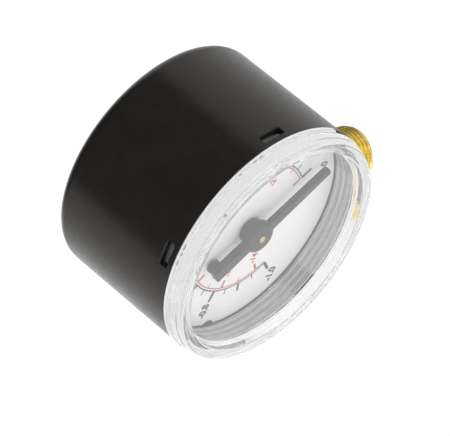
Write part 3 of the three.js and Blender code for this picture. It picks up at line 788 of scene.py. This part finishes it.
def lettering(text, place, size, bold):
    """Numerals as thin solid shapes standing on the dial, centred on (x, z)."""
    curve = bpy.data.curves.new("text", "FONT")
    curve.body = text
    curve.size = size
    curve.align_x, curve.align_y = "CENTER", "CENTER"
    curve.extrude = INK_HEIGHT / 2
    curve.offset = bold
    curve.resolution_u = 5
    obj = add_object("text", curve)
    bpy.context.view_layer.update()
    mesh = evaluated_mesh(obj)
    bm = bmesh.new()
    bm.from_mesh(mesh)
    bmesh.ops.remove_doubles(bm, verts=bm.verts, dist=1e-4)
    bm.to_mesh(mesh)
    bm.free()
    points = np.array([v.co for v in mesh.vertices], float)
    middle = (points[:, :2].min(0) + points[:, :2].max(0)) / 2
    flatten = INK_HEIGHT - INK_GAP
    verts = [
        (
            place[0] + (p[0] - middle[0]) * LETTER_WIDTH,
            INK_BACK - (p[2] + INK_HEIGHT / 2) * flatten / INK_HEIGHT,
            place[1] + (p[1] - middle[1]) + AXIS_Z,
        )
        for p in points
    ]
    faces = [tuple(polygon.vertices) for polygon in mesh.polygons]
    bpy.data.objects.remove(obj)
    bpy.data.curves.remove(curve)
    bpy.data.meshes.remove(mesh)
    return verts, faces


def finish_marks(name, parts, material):
    """Joins the marks of one colour into one piece."""
    verts, faces = [], []
    for part_verts, part_faces in parts:
        base = len(verts)
        verts += part_verts
        faces += [tuple(i + base for i in face) for face in part_faces]
    finish_piece(make(name, verts, faces), material, "dial_white", "housing", (), 40)


def build_bar_scale():
    """Outer scale in black: a tick each 0.05 bar and a numeral each 0.2 bar."""
    marks = [scale_arc(radius=11.5, width=0.2)]
    for k in range(21):
        if k % 4 == 0:
            outer, width = 13.5, 0.5
        elif k % 2 == 0:
            outer, width = 13.1, 0.42
        else:
            outer, width = 12.5, 0.2
        marks.append(tick(bar_angle(-1 + k * 0.05), 11.42, outer, width))
    for k in range(6):
        bar = -1 + 0.2 * k
        text, place = ("0", ZERO_PLACE) if k == 5 else (f"{bar:.1f}", clock(bar_angle(bar), 15.25))
        marks.append(lettering(text, place, size=2.05, bold=0.085))
    finish_marks("dial_marks_black", marks, INK_BLACK)


def build_psi_scale():
    """Inner scale in red: a tick each 1 psi and a numeral each 2 psi."""
    marks = [scale_arc(radius=11.08, width=0.18)]
    for psi in range(-14, 1):
        inner, width = (9.65, 0.4) if psi % 2 == 0 else (10.3, 0.17)
        marks.append(tick(bar_angle(psi / PSI_PER_BAR), inner, 11.12, width))
    for psi in range(-14, 0, 2):
        place = clock(bar_angle(psi / PSI_PER_BAR), 8.1)
        marks.append(lettering(str(psi), place, size=1.75, bold=0.06))
    finish_marks("dial_marks_red", marks, INK_RED)


# ------------------------------------------------------------------ pointer
POINTER_Y = -11.9  # front face of the needle
REST_ANGLE = 137  # clock angle
TAIL, TIP = 9.2, 15.0  # reach from the axis
TAIL_HALF, TIP_HALF, TIP_FLAT_HALF = 1.03, 0.62, 0.5
SHOULDER = TIP - 0.15
# (x, z) with the needle pointing up
NEEDLE = [
    (-TAIL_HALF, -TAIL), (TAIL_HALF, -TAIL), (0.9, 0), (TIP_HALF, SHOULDER),
    (TIP_FLAT_HALF, TIP), (-TIP_FLAT_HALF, TIP), (-TIP_HALF, SHOULDER), (-0.9, 0),
]
THICK_TAIL = [(-TAIL_HALF, -TAIL), (TAIL_HALF, -TAIL), (0.93, -2), (-0.93, -2)]
HUB_BACK = DIAL_FRONT - 0.3
# (radius, y, fillet), front to back
HUB_PROFILE = [
    (0, POINTER_Y - 0.25), (2.42, POINTER_Y - 0.25, 0.14), (2.6, POINTER_Y, 0.12),
    (2.6, POINTER_Y + 1.2, 0.12), (2.1, POINTER_Y + 1.4, 0.12), (2.1, HUB_BACK, 0.12),
    (0, HUB_BACK),
]


def pointer_prism(name, outline, y0, y1):
    return make(name, *prism_data([turned(x, z, REST_ANGLE) for x, z in outline], y0, y1))


def build_pointer():
    pointer = pointer_prism("pointer_needle", NEEDLE, POINTER_Y, POINTER_Y + 1.05)
    thick = pointer_prism("thick", THICK_TAIL, POINTER_Y + 0.4, POINTER_Y + 1.3)
    boolean(pointer, thick, "UNION")
    bevel(pointer, 0.10, segments=3, angle=30)
    # round boss behind the tail
    boss_x, boss_z = clock(REST_ANGLE, -8.0)
    front, back = POINTER_Y + 0.5, POINTER_Y + 2.3
    boss = filleted([(0, front), (1.15, front), (1.15, back, 0.12), (0, back)], 4)
    boolean(pointer, lathe("boss", boss, 48, (boss_x, AXIS_Z + boss_z)), "UNION")
    boolean(pointer, lathe("hub", filleted(HUB_PROFILE, 4), 72), "UNION")
    boolean(pointer, cylinder(0.72, POINTER_Y - 2, DIAL_FRONT + 1, 40))
    finish_piece(pointer, POINTER_BLACK, "pointer_black", "pointer_shaft", ["pointer"], 28)


# ------------------------------------------------------------------ connector
THREAD_PITCH, THREAD_R, ROOT_R = 0.907, 4.864, 4.283
END_R, NECK_R = 3.88, 4.15
SQUARE_HALF, CORNER_R = 7.0, 9.35
BORE_TOP = 22.2
# (z, radius) down the bore and out over the end face
BORE_STATIONS = [
    (BORE_TOP, 1.5), (3.6, 1.5), (3.05, 2.45), (2.9, 2.6), (0.25, 2.6), (0.0, 2.85), (0.0, END_R),
]
NECK_STATIONS = [(8.42, NECK_R), (10.3, NECK_R), (10.4, 4.28)]
# (z, half side, corner radius) up the square
SQUARE_STATIONS = [
    (10.4, SQUARE_HALF, 8.2), (10.5, SQUARE_HALF, 8.4), (10.9, SQUARE_HALF, 9.1),
    (11.06, SQUARE_HALF, CORNER_R), (19.1, SQUARE_HALF, CORNER_R),
    (19.2, SQUARE_HALF, CORNER_R), (19.2, SQUARE_HALF, 9.8), (22.3, SQUARE_HALF, 9.8),
    (22.4, 6.9, 9.7),
]
TUBE_R = 13.0  # centre line of the Bourdon tube


def stem_angles():
    """Every 2.5 degrees, and both sides of each rounded corner of the square."""
    corner = math.degrees(math.acos(SQUARE_HALF / CORNER_R))
    angles = set(round(k * 2.5, 4) for k in range(144))
    for quarter in range(4):
        for a in (corner, 90 - corner, corner - 0.9, 90 - corner + 0.9):
            angles.add(round(quarter * 90 + a, 4))
    return np.array(sorted(angles)) * RAD


def square_radius(half, corner_r, angles):
    return np.minimum(half / np.maximum(np.abs(np.cos(angles)), np.abs(np.sin(angles))), corner_r)


def thread_radius(z, angles):
    turn = (z / THREAD_PITCH - angles / (2 * math.pi)) % 1.0
    triangle = 1 - np.abs(2 * turn - 1)
    s = np.clip((triangle - 0.12) / 0.76, 0, 1)
    s = s * 0.55 + 0.45 * (3 * s**2 - 2 * s**3)
    return ROOT_R + (THREAD_R - ROOT_R) * s


def stem_body():
    """Bore, thread, neck and square as one surface of stacked rows."""
    angles = stem_angles()
    circle = np.ones(len(angles))
    rows = [(BORE_TOP, None)]  # z and the radius at each angle, None for a pole
    rows += [(z, r * circle) for z, r in BORE_STATIONS]
    z = 0.03
    while z < 8.36:
        # tapered at the end face and towards the neck
        radii = np.minimum(thread_radius(z, angles), END_R + z * 1.25)
        radii = np.minimum(radii, np.maximum(NECK_R, 4.9 - max(0.0, z - 7.75) * 1.3))
        rows.append((z, radii))
        z += THREAD_PITCH / 13
    rows += [(z, r * circle) for z, r in NECK_STATIONS]
    rows += [(z, square_radius(half, corner, angles)) for z, half, corner in SQUARE_STATIONS]
    rows.append((22.4, None))
    verts, faces, below = [], [], None
    for z, radii in rows:
        start = len(verts)
        if radii is None:
            verts.append((0, 0, z))
        else:
            verts += [(float(r * math.cos(a)), float(r * math.sin(a)), z) for r, a in zip(radii, angles)]
        ring = range(start, len(verts))
        if below is not None:
            if len(below) == 1 or len(ring) == 1:
                faces += strip_faces(below, ring)
            else:
                n = len(ring)
                for i in range(n):
                    j = (i + 1) % n
                    faces.append((below[i], below[j], ring[j], ring[i]))
        below = ring
    return make("stem_fitting", verts, faces)


def tube_loops(width, thickness, start, end, steps):
    """Flat-oval sections carried round the case axis, between degrees from +x."""
    half = thickness / 2
    section = []
    for side, first in ((1, -90), (-1, 90)):
        for i in range(9):
            a = (first + 180 * i / 8) * RAD
            section.append((side * (width / 2 - half) + half * math.cos(a), half * math.sin(a)))
    loops = []
    for k in range(steps + 1):
        a = (start + (end - start) * k / steps) * RAD
        loops.append(
            [
                ((TUBE_R + out) * math.cos(a), y, (TUBE_R + out) * math.sin(a) + AXIS_Z)
                for y, out in section
            ]
        )
    return loops


def build_stem():
    stem = stem_body()
    upper = block(-10.5, 10.5, -5.5, 5.5, 22.2, 23.45)
    boolean(upper, block(-6.3, -0.5, -3.5, 3.5, 22.6, 24.7), "UNION")
    boolean(upper, block(-4.6, 4.6, 2.5, 5.5, 22.6, 27.3), "UNION")
    bevel(upper, 0.12)
    # groove that clears the Bourdon tube
    boolean(upper, loft(tube_loops(5.3, 2.1, 257, 216, 16)))
    for x in (-2.9, 2.9):
        boolean(upper, cylinder(0.8, 2, 6.5, 24, centre=(x, AXIS_Z - 9.75)))
    for side in (-1, 1):
        boolean(upper, cylinder(0.95, 21, 26, 24, centre=(side * SCREW_X, 0.0), vertical=True))
    boolean(stem, upper, "UNION")
    finish_piece(stem, STEM_BRASS, "stem_brass", "housing", ["stem"], 26)


# ------------------------------------------------------------------ Bourdon tube
def build_tube():
    """Hollow tube, open at both ends."""
    outer = tube_loops(5.0, 1.8, 256, -6, 130)
    inner = tube_loops(4.3, 1.1, 256, -6, 130)
    n = len(outer[0])
    verts = [point for loop in outer + inner for point in loop]
    inside = len(outer) * n  # first vertex of the inner wall
    last = inside - n
    faces = []
    for a, b, c, d in side_faces(len(outer), n):
        faces.append((a, b, c, d))
        faces.append((inside + a, inside + d, inside + c, inside + b))
    for i in range(n):
        j = (i + 1) % n
        faces.append((i, inside + i, inside + j, j))
        faces.append((last + i, last + j, inside + last + j, inside + last + i))
    tube = make("tube_spring", verts, faces)
    tube.data.materials.append(BRONZE)
    shade(tube, 40)
    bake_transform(tube)
    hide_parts("bourdon_tube")


# ------------------------------------------------------------------ movement
# material and slot
SHEET = (SHEET_BRASS, "movement_brass")
TURNED = (TURNED_BRASS, "movement_brass")
COIL = (SPRING, "spring_bronze")
SCREW = (STEEL, "screw_steel")
# node, material and slot, body, bevel width
MOVEMENT = [
    ("sector_gear", SHEET, "sector", 0.03),
    ("sector_arbor", SCREW, "sector", 0.03),
    ("link_pin_sector", TURNED, "sector", 0.03),
    ("link", SHEET, "link_bar", 0.04),
    ("link_pin_tip", TURNED, "tube_tip", 0.03),
    ("tube_end_piece", TURNED, "tube_tip", 0.06),
    ("pinion_arbor", TURNED, "pointer_shaft", 0.02),
    ("hairspring_collet", TURNED, "pointer_shaft", 0.04),
    ("hairspring_stud", TURNED, "housing", 0.04),
    ("hairspring", COIL, "housing", 0.0),
    ("movement_front_plate", SHEET, "housing", 0.07),
    ("movement_back_plate", SHEET, "housing", 0.07),
    ("pillar_1", TURNED, "housing", 0.05),
    ("pillar_2", TURNED, "housing", 0.05),
    ("plate_screw_1", SCREW, "housing", 0.04),
    ("plate_screw_2", SCREW, "housing", 0.04),
    ("movement_screw_1", SCREW, "housing", 0.04),
    ("movement_screw_2", SCREW, "housing", 0.04),
    ("case_screw_1", SCREW, "housing", 0.04),
    ("case_screw_2", SCREW, "housing", 0.04),
]


def build_detail(node, metal_and_slot, body, width):
    """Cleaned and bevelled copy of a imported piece."""
    name = node + "_detail"
    mesh = bpy.data.meshes.new(name)
    bm = bmesh.new()
    bm.from_mesh(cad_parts[node].data)
    for layer in list(bm.loops.layers.uv):
        bm.loops.layers.uv.remove(layer)
    bmesh.ops.remove_doubles(bm, verts=bm.verts, dist=2e-6)
    bmesh.ops.dissolve_limit(bm, angle_limit=1.0 * RAD, verts=bm.verts, edges=bm.edges)
    bm.to_mesh(mesh)
    bm.free()
    obj = add_object(name, mesh)
    if width:
        bevel(obj, width, angle=40)
    for attribute in ("custom_normal", "sharp_edge", "sharp_face"):
        if attribute in mesh.attributes:
            mesh.attributes.remove(mesh.attributes[attribute])
    finish_piece(obj, *metal_and_slot, body, [node], 35)


# ------------------------------------------------------------------ stage, in metres
def floor_material():
    mat = Material("studio_floor")
    mat.set(
        Base_Color=mat.ramp(
            mat.noise(scale=6, detail=2), low=(0.88, 0.88, 0.88), high=(0.90, 0.90, 0.90)
        ),
        Roughness=0.9,
        Emission_Color=(1, 1, 1),
        Emission_Strength=0.32,
    )
    # the camera sees the floor as plain white paper with only a faint shadow
    direct_share, through_window_share = 0.86, 0.55
    paper = mat.shader("Emission", Strength=1.05)
    path = mat.add("LightPath").outputs
    seen = mat.plus(
        mat.times(path["Is Camera Ray"], direct_share),
        mat.times(path["Is Transmission Ray"], through_window_share),
    )
    share = mat.math("MINIMUM", seen, direct_share)
    mat.surface(mat.mix_shader(share, mat.principled.outputs[0], paper))
    return mat.data


def build_floor():
    half = 1.6
    z = min(cad_low.z, -0.036) - 0.00002
    corners = [(-half, -half, z), (half, -half, z), (half, half, z), (-half, half, z)]
    mesh = bpy.data.meshes.new("floor")
    mesh.from_pydata(corners, [], [(0, 1, 2, 3)])
    floor = add_object("floor", mesh)
    mesh.materials.append(floor_material())


def build_world():
    world = bpy.data.worlds.new("studio")
    bpy.context.scene.world = world
    world.use_nodes = True
    nodes = Nodes(world.node_tree)
    direction = nodes.add("TexCoord").outputs["Generated"]
    y = nodes.add("SeparateXYZ", Vector=direction).outputs["Y"]
    # brighter towards the front of the object
    front = nodes.add("MapRange", Value=y, From_Min=-0.35, From_Max=0.75, To_Min=1.25, To_Max=0.20)
    front.interpolation_type = "SMOOTHSTEP"
    soft = nodes.shader("Background", Strength=front.outputs[0])
    # white to the camera, and mostly so through the clear rim
    white = nodes.shader("Background", Strength=1.0, Color=(1, 1, 1))
    path = nodes.add("LightPath").outputs
    through = nodes.add("Math")
    through.operation = "MULTIPLY"
    through.inputs[1].default_value = 0.8  # share of white through clear plastic
    nodes.put(through.inputs[0], path["Is Transmission Ray"])
    share = nodes.add("Math")
    share.operation = "MAXIMUM"
    nodes.put(share.inputs[0], path["Is Camera Ray"])
    nodes.put(share.inputs[1], through.outputs[0])
    nodes.add("OutputWorld", Surface=nodes.mix_shader(share.outputs[0], soft, white))


def softbox(name, place, size, power):
    """Rectangular lamp aimed at the gauge."""
    light = bpy.data.lights.new(name, "AREA")
    light.shape = "RECTANGLE"
    light.size, light.size_y = size
    light.energy = power
    obj = add_object(name, light)
    obj.location = place
    obj.rotation_mode = "QUATERNION"
    aim = Vector((0, -0.01, 0)) - Vector(place)
    obj.rotation_quaternion = aim.to_track_quat("-Z", "Y")
    obj.visible_camera = False


def build_camera():
    data = bpy.data.cameras.new("camera")
    camera = add_object("camera", data)
    right = Vector((0.3419, -0.6816, -0.6469))
    up = Vector((0.8157, 0.5571, -0.1556))
    back = right.cross(up).normalized()
    up = back.cross(right).normalized()
    right.normalize()
    turn = Matrix((right, up, back)).transposed().to_4x4()
    camera.rotation_mode = "QUATERNION"
    camera.matrix_world = Matrix.Translation(Vector((0.3739, -0.3982, 0.6003))) @ turn
    data.sensor_fit = "HORIZONTAL"
    data.sensor_width = 36.0
    data.lens = 427.696
    data.clip_start, data.clip_end = 0.01, 10
    bpy.context.scene.camera = camera


def set_render():
    view = bpy.context.scene.view_settings
    view.view_transform = "Standard"
    view.look = "None"
    view.exposure = 0.0
    view.gamma = 1.0
    cycles = bpy.context.scene.cycles
    cycles.use_denoising = True
    cycles.max_bounces = 16
    cycles.transmission_bounces = 12
    cycles.glossy_bounces = 6
    cycles.diffuse_bounces = 4
    cycles.transparent_max_bounces = 16
    cycles.sample_clamp_indirect = 6.0
    cycles.caustics_reflective = False
    cycles.caustics_refractive = False


build_case()
build_window()
build_dial()
build_bar_scale()
build_psi_scale()
build_pointer()
build_stem()
build_tube()
for entry in MOVEMENT:
    build_detail(*entry)

build_floor()
build_world()
softbox("key", place=(-0.25, -0.75, 0.85), size=(0.7, 0.7), power=4.2)
softbox("fill", place=(0.9, -0.35, 0.25), size=(0.6, 0.6), power=1.4)
softbox("rim", place=(-0.8, 0.45, 0.35), size=(0.5, 0.8), power=1.1)
build_camera()
set_render()
